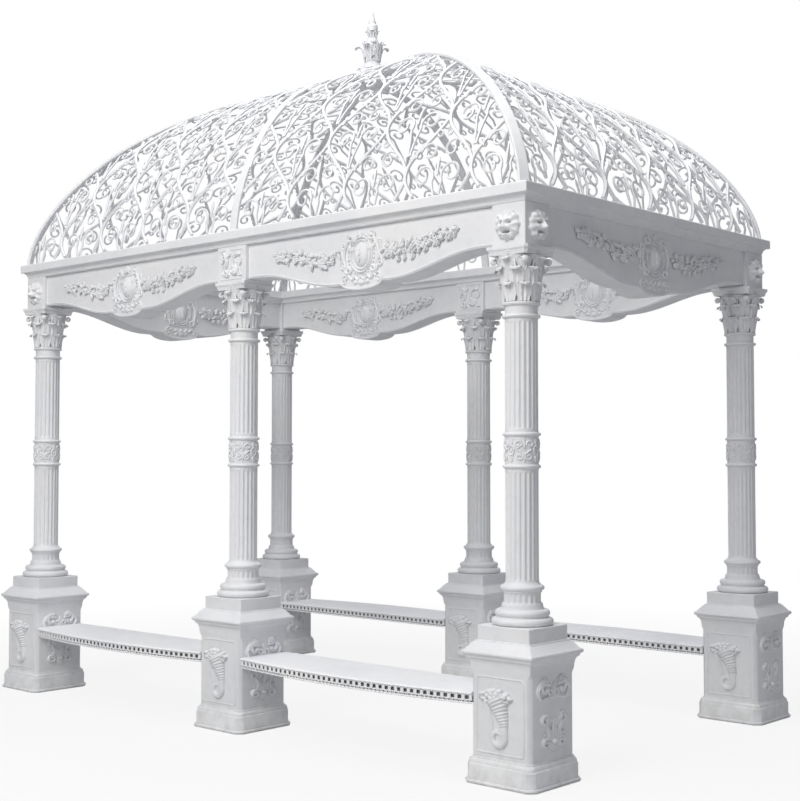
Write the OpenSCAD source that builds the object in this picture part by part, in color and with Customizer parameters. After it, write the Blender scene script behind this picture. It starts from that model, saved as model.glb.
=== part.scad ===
// Cast iron garden pavilion. Six fluted columns stand on panelled pedestals and
// carry a wavy frieze, a moulded cornice and an open dome of flat ribs and
// lattice with a finial. Four benches join the pedestals of the long sides.
// X runs along the long sides, -Y is the front, and the floor is at Z = 0.

/* [Plan] */
// Distance between column axes along one long bay
bay_l = 2090; // [1600:10:2600]
// Distance between the front and back rows of columns
span_w = 2250; // [1800:10:2800]

/* [Pedestals] */
// Width of the lip under the pedestal
base_w = 438; // [380:2:520]
// Width of the plinth block above the lip
plinth_w = 418; // [360:2:500]
// Width of the die, the plain middle of the pedestal
die_w = 366; // [300:2:440]
// Width of the cap at its edge
cap_w = 438; // [380:2:520]
// Width of the small square plinth under the column
sub_w = 320; // [260:2:380]
// Height of the base lip
lip_h = 28; // [15:1:50]
// Height of the plinth block
plinth_h = 70; // [40:1:120]
// Height of the moulding between plinth block and die
ogee_h = 29; // [15:1:60]
// Height of the die
die_h = 426; // [300:2:600]
// Height of the cove under the cap
cove_h = 72; // [40:1:120]
// Height of the cap's edge
edge_h = 25; // [12:1:50]
// Height of the cap's slope
slope_h = 44; // [20:1:80]
// Height of the small square plinth
sub_h = 74; // [40:1:120]
// Chamfer on the die's corners
die_chamfer = 16; // [6:1:40]
// Border left round a sunk panel
panel_margin = 34; // [20:1:60]
// Depth of a sunk panel
panel_d = 7; // [3:0.5:15]

/* [Columns] */
// Diameter of the fluted shaft
shaft_d = 166; // [130:2:220]
// Diameter of the lower torus
torus_low_d = 310; // [240:2:315]
// Diameter of the upper torus
torus_up_d = 276; // [220:2:310]
// Diameter of the short drum above the tori
drum_d = 186; // [150:2:230]
// Diameter of the ring above the drum
ring_d = 218; // [180:2:260]
// Diameter of the ornamented band at mid height
band_d = 184; // [150:2:230]
// Diameter of the two neck rings
neck_ring_d = 194; // [170:2:240]
// Height of the lower torus
torus_low_h = 37; // [20:1:60]
// Height of the upper torus
torus_up_h = 40; // [20:1:60]
// Height of the short drum
drum_h = 95; // [60:1:150]
// Height of the ring above the drum
ring_h = 28; // [14:1:50]
// Height of the lower length of shaft
shaft_low_h = 572; // [400:2:800]
// Height of the ornamented band
band_h = 180; // [120:2:260]
// Height of the upper length of shaft
shaft_up_h = 570; // [400:2:800]
// Height of the neck with its two rings
neck_h = 80; // [60:1:120]
// Height of the leafy capital with its abacus
capital_h = 275; // [200:1:340]
// Height of the square abacus
abacus_h = 44; // [25:1:70]
// Width of the square abacus
abacus_w = 262; // [200:2:330]
// Number of flutes round the shaft
flutes = 20; // [12:1:28]
// Width of one flute
flute_w = 17; // [8:1:22]
// Depth of one flute
flute_d = 5; // [2:0.5:8]

/* [Entablature] */
// Width of the square blocks over the columns
block_w = 208; // [160:2:260]
// Width along the side of the two middle blocks
block_mid_w = 256; // [200:2:320]
// Height of the square blocks
block_h = 215; // [150:1:280]
// Height that the masks and panels stand out from a block
boss_h = 16; // [6:1:30]
// Thickness of the frieze
frieze_t = 160; // [60:2:200]
// Depth by which a side frieze dips towards the middle of its bay
frieze_dip = 105; // [40:1:160]
// Depth by which an end frieze dips towards its middle
frieze_end_dip = 122; // [40:1:180]
// Height of a frieze's foot above the block's foot
frieze_lift = 12; // [0:1:30]
// Further drop of the pendant at the middle of a bay
pendant_drop = 38; // [15:1:80]
// Width of the pendant
pendant_w = 304; // [200:2:460]
// Overhang of the cornice beyond the blocks
cornice_out = 36; // [15:1:80]
// Height of the cornice's cove
cornice_cove_h = 40; // [20:1:80]
// Height of the cornice's top fillet
fillet_h = 52; // [25:1:80]

/* [Roof] */
// Set-back of the roof's foot from the cornice's edge
roof_inset = 40; // [20:1:60]
// Rise of the dome above the cornice
rise = 1160; // [800:10:1500]
// Width of a rib
rib_w = 60; // [40:1:90]
// Thickness of a rib
rib_t = 22; // [12:1:40]
// Radius of the crown where the ribs meet
crown_r = 110; // [90:1:160]
// Thickness of a lattice bar
bar_t = 16; // [8:1:24]
// Spacing of the lattice bars along the cornice
bar_pitch = 175; // [140:1:300]
// Height of the finial above the crown
finial_h = 480; // [300:5:700]

/* [Benches] */
// Height of the seat's top above the floor
seat_z = 436; // [400:1:500]
// Thickness of the seat slab
slab_t = 14; // [8:1:30]
// Height of the skirt under the slab
skirt_h = 46; // [25:1:80]
// Thickness of the skirt
skirt_t = 12; // [8:1:25]
// Depth of the seat at its ends
seat_d = 364; // [280:2:420]
// Outward bow of the seat's outer edge
bow_out = 80; // [20:2:140]
// Clearance between a seat and the dies that it joins
seat_fit = 0.3; // [0:0.1:1]

/* [Hidden] */
$fn = 48;

paint = [0.86, 0.87, 0.87];

// Heights of the pedestal's courses
z_plinth = lip_h;
z_ogee = z_plinth + plinth_h;
z_die = z_ogee + ogee_h;
z_cove = z_die + die_h;
z_edge = z_cove + cove_h;
z_slope = z_edge + edge_h;
z_sub = z_slope + slope_h;
z_col = z_sub + sub_h;

// Heights of the column's courses
z_up = z_col + torus_low_h;
z_drum = z_up + torus_up_h;
z_ring = z_drum + drum_h;
z_low = z_ring + ring_h;
z_band = z_low + shaft_low_h;
z_high = z_band + band_h;
z_neck = z_high + shaft_up_h;
z_cap = z_neck + neck_h;
z_block = z_cap + capital_h;
z_cornice = z_block + block_h;
z_fillet = z_cornice + cornice_cove_h;
z_roof = z_fillet + fillet_h;

// Half sizes of the plan: the cornice reaches round both sides of its walls
half_w = span_w / 2;
cornice_half = block_w / 2 + cornice_out;
foot_x = bay_l + cornice_half - roof_inset;
foot_y = half_w + cornice_half - roof_inset;

// Points of an arc about (cx, cy), from one angle to another in n steps
function arc(cx, cy, r, a0, a1, n) =
  [for (i = [0:n]) [cx + r * cos(a0 + (a1 - a0) * i / n), cy + r * sin(a0 + (a1 - a0) * i / n)]];

// Points of a quarter of an ellipse that joins (x0, y0) to (x1, y1), hollow at its middle
function cove(x0, y0, x1, y1, n) =
  [for (i = [0:n]) [x1 + (x0 - x1) * cos(90 * i / n), y0 + (y1 - y0) * sin(90 * i / n)]];

// The dome's meridian at angle a: share of the foot's half size, and height
function dome_t(a) = pow(cos(a), 0.87);
function dome_z(a) = z_roof + rise * pow(sin(a), 1.24);

// A solid that is square in plan, from its half profile
module square_turned(half) {
  width = 2 * max([for (p = half) p[0]]) + 2;
  outline = concat(half, [for (i = [len(half) - 1:-1:0]) [-half[i][0], half[i][1]]]);
  intersection() {
    rotate([90, 0, 0]) linear_extrude(width, center = true) polygon(outline);
    rotate([90, 0, 90]) linear_extrude(width, center = true) polygon(outline);
  }
}

// One pedestal about its own axis, with benches on the X sides named in sides
module pedestal(sides) {
  cove_w = cap_w / 2 - 16;
  half = concat(
    [[base_w / 2, 0], [base_w / 2, lip_h * 0.6], [base_w / 2 - 7, z_plinth]],
    [[plinth_w / 2, z_plinth + 2], [plinth_w / 2, z_ogee]],
    cove(plinth_w / 2 - 6, z_ogee, die_w / 2, z_die, 4),
    cove(die_w / 2, z_cove, die_w / 2 + 18, z_cove + cove_h * 0.55, 3),
    cove(cove_w - 14, z_cove + cove_h * 0.6, cove_w, z_edge - 3, 3),
    arc(cap_w / 2 - edge_h / 2, z_edge + edge_h / 2, edge_h / 2, -80, 90, 5),
    [[sub_w / 2 + 10, z_sub - 4], [sub_w / 2, z_sub], [sub_w / 2, z_col]]);
  panel_h = die_h - 2 * panel_margin;
  panel_w = die_w - 2 * panel_margin;
  difference() {
    square_turned(half);
    for (a = [45:90:315]) rotate(a)
      translate([die_w / sqrt(2) - die_chamfer / sqrt(2), -30, z_die + 4])
        cube([60, 60, die_h - 8]);
    for (s = [-1, 1]) translate([0, s * die_w / 2, z_die + die_h / 2])
      cube([panel_w, 2 * panel_d, panel_h], center = true);
    for (s = [-1, 1]) if (len([for (k = sides) if (k == s) k]) == 0)
      translate([s * die_w / 2, 0, z_die + die_h / 2])
        cube([2 * panel_d, panel_w, panel_h], center = true);
  }
}

// Flutes cut into a length of shaft
module flute_ring(z0, h) {
  // Radius of the cutting rod that makes the stated width and depth
  rod = (flute_w * flute_w / 4 + flute_d * flute_d) / (2 * flute_d);
  for (i = [0:flutes - 1]) rotate(360 * (i + 0.5) / flutes)
    translate([shaft_d / 2 + rod - flute_d, 0, z0]) cylinder(r = rod, h = h);
}

// One column with its capital about its own axis
module column() {
  r = shaft_d / 2;
  rb = band_d / 2;
  rn = neck_ring_d / 2;
  rr = ring_d / 2;
  h_leaf = (capital_h - abacus_h) / 2;
  outline = concat(
    [[0, z_col]],
    arc(torus_low_d / 2 - torus_low_h / 2, z_col + torus_low_h / 2, torus_low_h / 2, -90, 90, 6),
    arc(torus_up_d / 2 - torus_up_h / 2, z_up + torus_up_h / 2, torus_up_h / 2, -90, 90, 6),
    cove(drum_d / 2 + 14, z_drum, drum_d / 2, z_drum + 22, 4),
    [[drum_d / 2, z_ring - 8]],
    arc(rr - ring_h / 2, z_ring + ring_h / 2, ring_h / 2, -90, 90, 5),
    [[r, z_low], [r, z_band]],
    arc(rb - 7, z_band + 9, 9, -90, 90, 4),
    [[rb - 10, z_band + 20], [rb - 10, z_high - 20]],
    arc(rb - 7, z_high - 9, 9, -90, 90, 4),
    [[r, z_high], [r, z_neck]],
    arc(rn - 9, z_neck + 11, 10, -90, 90, 4),
    [[r - 2, z_neck + 22], [r - 2, z_cap - 22]],
    arc(rn - 9, z_cap - 11, 10, -90, 90, 4),
    [[r, z_cap], [r + 14, z_cap + h_leaf * 0.85], [r + 26, z_cap + h_leaf * 0.95]],
    [[r + 10, z_cap + h_leaf], [r + 22, z_cap + h_leaf * 1.7]],
    [[abacus_w / 2 - 6, z_block - abacus_h - 8], [abacus_w / 2 - 10, z_block - abacus_h / 2]],
    [[0, z_block - abacus_h / 2]]);
  difference() {
    rotate_extrude() polygon(outline);
    flute_ring(z_low + 12, shaft_low_h - 24);
    flute_ring(z_high + 12, shaft_up_h - 24);
  }
  abacus();
}

// Square abacus with hollow sides
module abacus() {
  hollow = 620;
  difference() {
    translate([0, 0, z_block - abacus_h / 2])
      cube([abacus_w, abacus_w, abacus_h], center = true);
    for (a = [0:90:270]) rotate(a)
      translate([abacus_w / 2 + hollow - 13, 0, z_block - abacus_h - 1])
        cylinder(r = hollow, h = abacus_h + 2, $fn = 96);
  }
}

// One corner block with a round boss on each outer face
module block(faces) {
  translate([-block_w / 2, -block_w / 2, z_block]) cube([block_w, block_w, block_h]);
  for (a = faces) rotate(a) translate([block_w / 2, 0, z_block + block_h / 2])
    rotate([0, 90, 0]) cylinder(d1 = block_w * 0.66, d2 = block_w * 0.5, h = boss_h);
}

// One middle block with a raised panel on its front and back faces
module middle_block() {
  panel_w = block_mid_w * 0.78;
  panel_t = block_w + boss_h;
  translate([-block_mid_w / 2, -block_w / 2, z_block]) cube([block_mid_w, block_w, block_h]);
  translate([-panel_w / 2, -panel_t / 2, z_block + block_h * 0.09])
    cube([panel_w, panel_t, block_h * 0.82]);
}

// Drop of a frieze's lower edge at x below its foot
function frieze_low(x, half, dip) =
  let (u = min(1, max(0, (abs(x) / half - 0.22) / 0.68)),
       p = abs(x) / (pendant_w / 2))
  dip * (1 + cos(180 * u)) / 2
  + (p < 1 ? pendant_drop * sqrt(1 - p * p) : 0);

// A frieze panel along X about its own middle
module frieze(length, dip) {
  half = length / 2;
  foot = z_block + frieze_lift;
  n = 60;
  low = [for (i = [0:n]) let (x = -half + length * i / n) [x, foot - frieze_low(x, half, dip)]];
  rotate([90, 0, 0]) linear_extrude(frieze_t, center = true)
    polygon(concat(low, [[half, z_cornice], [-half, z_cornice]]));
}

// A mitred length of cornice along X about its own middle, reach being the axis of its ends
module cornice(reach) {
  c = cornice_half;
  side = concat(
    [[block_w / 2 - 6, z_cornice]],
    cove(block_w / 2, z_cornice + 4, c - 6, z_fillet, 4),
    [[c, z_fillet], [c, z_roof - 5], [c - 5, z_roof]]);
  outline = concat(side, [for (i = [len(side) - 1:-1:0]) [-side[i][0], side[i][1]]]);
  intersection() {
    rotate([90, 0, 90]) linear_extrude(2 * (reach + c), center = true) polygon(outline);
    translate([0, 0, z_cornice - 1]) linear_extrude(z_roof - z_cornice + 2)
      polygon([[-reach - c, -c], [reach + c, -c], [reach - c, c], [c - reach, c]]);
  }
}

// A rib in the vertical plane at plan angle dir, its foot at distance reach
module rib(reach, dir) {
  n = 26;
  step = 90 / n;
  function at(a) = [reach * dome_t(a), dome_z(a)];
  function inward(a) =
    let (p = at(max(0, a - 0.5)), q = at(min(90, a + 0.5)), d = q - p, l = norm(d))
    a < 0.1 ? [-1, 0] : [-d[1], d[0]] / l;
  outer = [for (i = [0:n]) at(step * i)];
  inner = [for (i = [n:-1:0]) at(step * i) + rib_t * inward(step * i)];
  difference() {
    rotate(dir) rotate([90, 0, 0]) linear_extrude(rib_w, center = true)
      polygon(concat(outer, inner));
    translate([0, 0, z_roof + rise / 2]) cylinder(r = crown_r, h = rise);
  }
}

// A point of a gore's middle surface: u along the cornice, angle a up the dome
function gore_point(depth, u, a) = [u, -depth * dome_t(a) + rib_t / 2 * cos(a),
                                    dome_z(a) - rib_t / 2 * sin(a)];

// Lattice of a gore whose foot lies at y = -depth; each bar zigzags and meets its neighbours
module gore_bars(depth, u0, u1, steps) {
  bars = max(4, round((u1 - u0) / bar_pitch));
  pitch = (u1 - u0) / bars;
  top = 84;
  reach = max(abs(u0), abs(u1));
  function u_at(k, j) = u0 + pitch * k + pitch / 2 * ((k + j) % 2 == 0 ? 1 : -1);
  for (k = [0:bars]) for (j = [0:steps - 1]) {
    a = top * j / steps;
    b = top * (j + 1) / steps;
    ua = u_at(k, j);
    ub = u_at(k, j + 1);
    near = reach * dome_t(a) + pitch * 0.4;
    if (abs(ua) < near && abs(ub) < near && min(ua, ub) > u0 - pitch * 0.9)
      hull() {
        translate(gore_point(depth, ua, a)) cube(bar_t, center = true);
        translate(gore_point(depth, ub, b)) cube(bar_t, center = true);
      }
  }
}

// A half space beyond the vertical plane through the axis at plan angle dir, on its left
module beyond(dir, gap) {
  far = 3 * bay_l;
  rotate(dir) translate([-far, gap, 0]) cube([2 * far, far, 2 * far]);
}

// Front gore on one side of the middle rib; s is 1 for the right-hand one
module side_gore(s) {
  corner = atan2(foot_y, foot_x);
  mirror([s < 0 ? 1 : 0, 0, 0]) difference() {
    gore_bars(foot_y, 0, foot_x, 12);
    beyond(90, -rib_w / 2);
    beyond(-corner, 0);
    rib(norm([foot_x, foot_y]), -corner);
    translate([-1, -2 * foot_y, z_roof - 100]) cube([2 * foot_x, 2 * foot_y, 100]);
    translate([0, 0, z_roof + rise / 2]) cylinder(r = crown_r, h = rise);
  }
}

// End gore, drawn along its own foot and turned to the end of the pavilion
module end_gore(s) {
  corner = atan2(foot_y, foot_x);
  rotate(s * 90) difference() {
    gore_bars(foot_x, -foot_y, foot_y, 16);
    for (m = [0, 1]) mirror([m, 0, 0]) {
      beyond(corner - 90, 0);
      rib(norm([foot_x, foot_y]), corner - 90);
    }
    translate([-2 * foot_y, -2 * foot_x, z_roof - 100]) cube([4 * foot_y, 2 * foot_x, 100]);
    translate([0, 0, z_roof + rise / 2]) cylinder(r = crown_r, h = rise);
  }
}

// Crown and finial turned about the vertical axis
module finial() {
  z = z_roof + rise;
  h = finial_h;
  outline = concat(
    [[0, z - 30], [crown_r, z - 30], [crown_r, z + 12]],
    cove(crown_r * 0.8, z + 22, 25, z + h * 0.38, 6),
    [[24, z + h * 0.42], [44, z + h * 0.44], [90, z + h * 0.45], [92, z + h * 0.48]],
    [[56, z + h * 0.55], [24, z + h * 0.57], [48, z + h * 0.60], [48, z + h * 0.62]],
    [[22, z + h * 0.68], [11, z + h * 0.74]],
    arc(4, z + h * 0.80, 24, -72, 72, 6),
    [[9, z + h * 0.88], [6, z + h * 0.95], [3, z + h], [0, z + h]]);
  rotate_extrude() polygon(outline);
}

// A bench between two dies, about the middle of its bay; the outer edge is at -Y
module seat() {
  length = bay_l - die_w - 2 * seat_fit;
  half = length / 2;
  n = 24;
  function bowed(inset) =
    concat([for (i = [0:n]) let (x = -half + length * i / n)
              [x, -seat_d / 2 - bow_out * (1 - pow(x / half, 2)) + inset]],
           [[half, seat_d / 2 - inset], [-half, seat_d / 2 - inset]]);
  translate([0, 0, seat_z - slab_t]) linear_extrude(slab_t) polygon(bowed(0));
  translate([0, 0, seat_z - slab_t - skirt_h]) linear_extrude(skirt_h + 1) difference() {
    polygon(bowed(4));
    polygon(bowed(4 + skirt_t));
  }
}

// Places: column i = -1, 0 or 1 along X, s = -1 in front and 1 behind
module at_column(i, s) {
  translate([i * bay_l, s * half_w, 0]) children();
}

module pedestal_at(i, s) {
  color(paint) at_column(i, s) pedestal(i == 0 ? [-1, 1] : [-i]);
}

module column_at(i, s) {
  color(paint) at_column(i, s) column();
}

module block_at(i, s) {
  color(paint) at_column(i, s) {
    if (i == 0) middle_block();
    if (i != 0) block([s * 90, i > 0 ? 0 : 180]);
  }
}

module frieze_at(i, s) {
  near = block_mid_w / 2;
  far = bay_l - block_w / 2;
  color(paint) translate([i * (near + far) / 2, s * half_w, 0]) frieze(far - near, frieze_dip);
}

module frieze_end(i) {
  color(paint) translate([i * bay_l, 0, 0]) rotate(90) frieze(span_w - block_w, frieze_end_dip);
}

module cornice_side(s) {
  color(paint) rotate(s > 0 ? 180 : 0) translate([0, -half_w, 0]) cornice(bay_l);
}

module cornice_end(i) {
  color(paint) rotate(i * 90) translate([0, -bay_l, 0]) cornice(half_w);
}

module rib_at(i, s) {
  color(paint) rib(norm([i * foot_x, foot_y]), atan2(s * foot_y, i * foot_x));
}

module lattice_side(i, s) {
  color(paint) mirror([0, s > 0 ? 1 : 0, 0]) side_gore(i);
}

module lattice_end(i) {
  color(paint) end_gore(i);
}

module seat_at(i, s) {
  color(paint) translate([i * bay_l / 2, s * half_w, 0]) mirror([0, s > 0 ? 1 : 0, 0]) seat();
}

module crown() {
  color(paint) finial();
}

pedestal_at(-1, -1);  // pedestal_front_left
pedestal_at(0, -1);  // pedestal_front_middle
pedestal_at(1, -1);  // pedestal_front_right
pedestal_at(-1, 1);  // pedestal_back_left
pedestal_at(0, 1);  // pedestal_back_middle
pedestal_at(1, 1);  // pedestal_back_right
column_at(-1, -1);  // column_front_left
column_at(0, -1);  // column_front_middle
column_at(1, -1);  // column_front_right
column_at(-1, 1);  // column_back_left
column_at(0, 1);  // column_back_middle
column_at(1, 1);  // column_back_right
block_at(-1, -1);  // block_front_left
block_at(0, -1);  // block_front_middle
block_at(1, -1);  // block_front_right
block_at(-1, 1);  // block_back_left
block_at(0, 1);  // block_back_middle
block_at(1, 1);  // block_back_right
frieze_at(-1, -1);  // frieze_front_left
frieze_at(1, -1);  // frieze_front_right
frieze_at(-1, 1);  // frieze_back_left
frieze_at(1, 1);  // frieze_back_right
frieze_end(-1);  // frieze_left_end
frieze_end(1);  // frieze_right_end
cornice_side(-1);  // cornice_front
cornice_side(1);  // cornice_back
cornice_end(-1);  // cornice_left
cornice_end(1);  // cornice_right
rib_at(-1, -1);  // rib_front_left
rib_at(0, -1);  // rib_front_middle
rib_at(1, -1);  // rib_front_right
rib_at(-1, 1);  // rib_back_left
rib_at(0, 1);  // rib_back_middle
rib_at(1, 1);  // rib_back_right
lattice_side(-1, -1);  // lattice_front_left
lattice_side(1, -1);  // lattice_front_right
lattice_side(-1, 1);  // lattice_back_left
lattice_side(1, 1);  // lattice_back_right
lattice_end(-1);  // lattice_left_end
lattice_end(1);  // lattice_right_end
seat_at(-1, -1);  // seat_front_left
seat_at(1, -1);  // seat_front_right
seat_at(-1, 1);  // seat_back_left
seat_at(1, 1);  // seat_back_right
crown();  // finial
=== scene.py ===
# %% [markdown]
# # A cast iron garden pavilion
# The pavilion is a long open shelter cast in iron and painted white. Its six
# columns, its friezes and its dome come from a CAD frame in real sizes, in
# metres, with X along the long sides, -Y the front and the floor at Z = 0.
# This file dresses that frame: every casting gets its mouldings, leaves,
# garlands and scrolls as surfaces worked out with numpy, and one coat of paint.

# %% Load the frame
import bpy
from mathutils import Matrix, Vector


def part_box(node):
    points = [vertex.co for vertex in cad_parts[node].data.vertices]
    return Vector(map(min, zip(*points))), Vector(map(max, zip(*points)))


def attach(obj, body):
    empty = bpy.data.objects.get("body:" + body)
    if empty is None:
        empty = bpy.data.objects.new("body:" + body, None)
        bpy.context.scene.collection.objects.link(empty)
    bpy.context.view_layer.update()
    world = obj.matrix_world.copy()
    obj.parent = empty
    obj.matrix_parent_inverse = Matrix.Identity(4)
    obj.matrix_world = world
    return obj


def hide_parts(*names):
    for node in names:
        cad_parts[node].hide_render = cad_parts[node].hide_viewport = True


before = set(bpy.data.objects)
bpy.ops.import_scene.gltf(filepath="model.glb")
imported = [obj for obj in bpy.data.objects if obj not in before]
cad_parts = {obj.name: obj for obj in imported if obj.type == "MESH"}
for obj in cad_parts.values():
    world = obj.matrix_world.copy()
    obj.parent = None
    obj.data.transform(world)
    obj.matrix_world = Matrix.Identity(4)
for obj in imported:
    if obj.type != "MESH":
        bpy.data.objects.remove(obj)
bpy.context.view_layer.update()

import math

import bmesh
import bpy
import numpy as np

# %% [markdown]
# ## Where things are
# A dressed piece must sit exactly where its plain solid is, so the sizes are
# read from the boxes of the solids. Typing them in again would work until the
# frame changes; reading them keeps both in step.

# %% Main sizes
def centre(node):
    """Middle of a node's box: half the sum of its lowest and highest corners."""
    low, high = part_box(node)
    return (np.array(low) + np.array(high)) / 2


BAY = float(centre("pedestal_front_right")[0])
ROW = float(-centre("column_front_right")[1])
FLOOR = float(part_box("pedestal_front_right")[0][2])
Z_COLUMN = float(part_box("pedestal_front_right")[1][2])
Z_BLOCK = float(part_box("column_front_right")[1][2])
Z_CORNICE = float(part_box("cornice_front")[0][2])
Z_ROOF = float(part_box("cornice_front")[1][2])
Z_CROWN = float(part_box("rib_front_middle")[1][2])
print(f"bay {BAY:.3f}, row {ROW:.3f}, roof {Z_ROOF:.3f}, crown {Z_CROWN:.3f}")

# %% [markdown]
# ## Shader maths
# Blender's nodes do sums one box at a time, which is hard to read as code.
# A small class wraps a socket so that `a * 0.5 + b` adds the Math nodes.

# %% Node helper
class Sum:
    """A socket that takes part in Python arithmetic; each sign adds a Math node."""

    def __init__(self, paint, socket):
        self.paint, self.socket = paint, socket

    def _math(self, operation, *values):
        return self.paint.node("ShaderNodeMath", {"operation": operation}, *values)

    def __add__(self, other):
        return self._math("ADD", self, other)

    def __rsub__(self, other):
        return self._math("SUBTRACT", other, self)

    def __mul__(self, other):
        return self._math("MULTIPLY", self, other)

    def step(self, low, high):
        """0 below low, 1 above high, and straight in between."""
        return self.paint.node("ShaderNodeMapRange", {"clamp": True}, self, low, high)


class Paint:
    """A material under construction, with one method for any node."""

    def __init__(self, name):
        self.material = bpy.data.materials.new(name)
        self.material.use_nodes = True
        self.tree = self.material.node_tree
        self.shader = self.tree.nodes["Principled BSDF"]

    def put(self, value, socket):
        """Link a socket to another, or set it to a plain value."""
        if isinstance(value, Sum):
            self.tree.links.new(value.socket, socket)
        else:
            socket.default_value = value

    def node(self, kind, settings=None, *values, out=0, **named):
        """Add a node, set its settings, fill its sockets, and return one output."""
        node = self.tree.nodes.new(kind)
        for key, value in (settings or {}).items():
            setattr(node, key, value)
        for socket, value in zip(node.inputs, values):
            self.put(value, socket)
        for key, value in named.items():
            self.put(value, node.inputs[key.replace("_", " ")])
        return Sum(self, node.outputs[out])

    def mix(self, share, first, second):
        """A colour between two colours."""
        node = self.tree.nodes.new("ShaderNodeMix")
        node.data_type = "RGBA"
        self.put(share, node.inputs[0])
        self.put(first, node.inputs[6])
        self.put(second, node.inputs[7])
        return Sum(self, node.outputs[2])


# %% [markdown]
# ## White paint on cast iron
# The finish is an oil paint brushed over rough castings: nearly white, a
# little cool, with soft blotches where it has weathered, grey dirt that
# gathers low down, and the fine orange-peel of sand-cast iron.

# %% White paint
def white_paint(name, tint=(0.802, 0.806, 0.812), dirt=1.0, ribs=0.0):
    """Satin paint: blotches and dirt change the colour, noise at two scales bumps it, and
    ribs adds the cross ridges that the seats are cast with."""
    paint = Paint(name)
    place = paint.node("ShaderNodeTexCoord", out=3)
    blotch = paint.node("ShaderNodeTexNoise", None, Vector=place, Scale=2.3, Detail=4.0)
    cloud = paint.node("ShaderNodeTexNoise", None, Vector=place, Scale=19.0, Detail=5.0)
    sand = paint.node("ShaderNodeTexNoise", None, Vector=place, Scale=260.0, Detail=2.0)
    height = paint.node("ShaderNodeSeparateXYZ", None, place, out=2)
    low = 1.0 - height.step(0.0, 0.22)
    grime = (cloud.step(0.50, 0.78) * 0.16 + blotch.step(0.45, 0.75) * 0.14
             + low * cloud.step(0.35, 0.65) * 0.35) * dirt
    clean = paint.mix(blotch.step(0.35, 0.7), (*tint, 1), (tint[0] * 0.97, tint[1] * 0.98, tint[2] * 1.01, 1))
    colour = paint.mix(grime, clean, (0.50, 0.50, 0.47, 1))
    paint.put(colour, paint.shader.inputs["Base Color"])
    paint.put(cloud * 0.22 + 0.40, paint.shader.inputs["Roughness"])
    relief = cloud * 0.6 + sand * 0.25
    if ribs:
        relief = relief + paint.node("ShaderNodeTexWave", {"wave_profile": "SIN"}, place, ribs, out=1) * 0.9
    bump = paint.node("ShaderNodeBump", None, Strength=0.35, Distance=0.004, Height=relief)
    paint.put(bump, paint.shader.inputs["Normal"])
    paint.shader.inputs["Specular IOR Level"].default_value = 0.45
    return paint.material


PAINT = white_paint("white_paint")
# The bench paint is a brighter copy of the white paint: painted light, lifting the seat tops that the roof
# shades.
BRIGHTENED_BENCH_PAINT = white_paint("bench_paint_painted_light", (0.90, 0.90, 0.905), 0.6, 12.0)
# The dark grey paint is painted shade, for the strips behind the bench skirts where the shade under the seat
# shows through the holes.
PAINTED_SHADE_GREY = white_paint("painted_shade_paint", (0.20, 0.205, 0.20), 2.0)
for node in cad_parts:
    mesh = bpy.data.objects[node].data if node in bpy.data.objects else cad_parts[node].data
    mesh.materials.clear()
    mesh.materials.append(PAINT)
print("paint on", len(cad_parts), "nodes")

# %% [markdown]
# ## Surfaces from numpy
# Every casting below is a grid of points bent into shape. A grid needs only
# one rule for its faces, so the rule is written once. A part is then a pair:
# its points, and its four-cornered faces. Where a row of points shrinks to one
# place, the doubles are merged afterwards, and that closes the pole.

# %% Grid helpers
def grid(rows, cols, wrap=False, loop=False):
    """Faces between neighbouring points of a grid; wrap joins the last column to the
    first, and loop joins the last row to the first."""
    r, c = np.meshgrid(np.arange(rows if loop else rows - 1),
                       np.arange(cols if wrap else cols - 1), indexing="ij")
    near, far = r * cols, (r + 1) % rows * cols
    right = (c + 1) % cols
    return np.stack([near + c, near + right, far + right, far + c], -1).reshape(-1, 4)


def joined(parts):
    """One part from several: the face numbers are shifted by the points before them."""
    shifts = np.cumsum([0] + [len(points) for points, _ in parts[:-1]])
    return (np.concatenate([points for points, _ in parts]),
            np.concatenate([faces + shift for (_, faces), shift in zip(parts, shifts)]))


def moved(parts, offset=(0, 0, 0), scale=(1, 1, 1), turn=0.0):
    """Parts scaled, then turned about their own Z, then shifted."""
    c, s = math.cos(turn), math.sin(turn)
    spin = np.array([[c, s, 0], [-s, c, 0], [0, 0, 1]])
    return [((points * scale) @ spin + np.array(offset), faces) for points, faces in parts]


def on_face(parts, foot, outward):
    """Parts drawn flat (x right, y up, z out) set on an upright face; outward is the
    plan direction that the face looks to."""
    out = np.array([outward[0], outward[1], 0.0])
    right = np.array([-outward[1], outward[0], 0.0])
    frame_axes = np.stack([right, [0, 0, 1], out])
    return [(points @ frame_axes + np.array(foot), faces) for points, faces in parts]


def round_column(parts, radius, height):
    """Parts drawn flat, bent round an upright cylinder: x becomes x / radius of turn."""
    bent = []
    for points, faces in parts:
        angle = points[:, 0] / radius - math.pi / 2
        reach = radius + points[:, 2]
        bent.append((np.stack([reach * np.cos(angle), reach * np.sin(angle),
                               height + points[:, 1]], -1), faces))
    return bent


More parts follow.
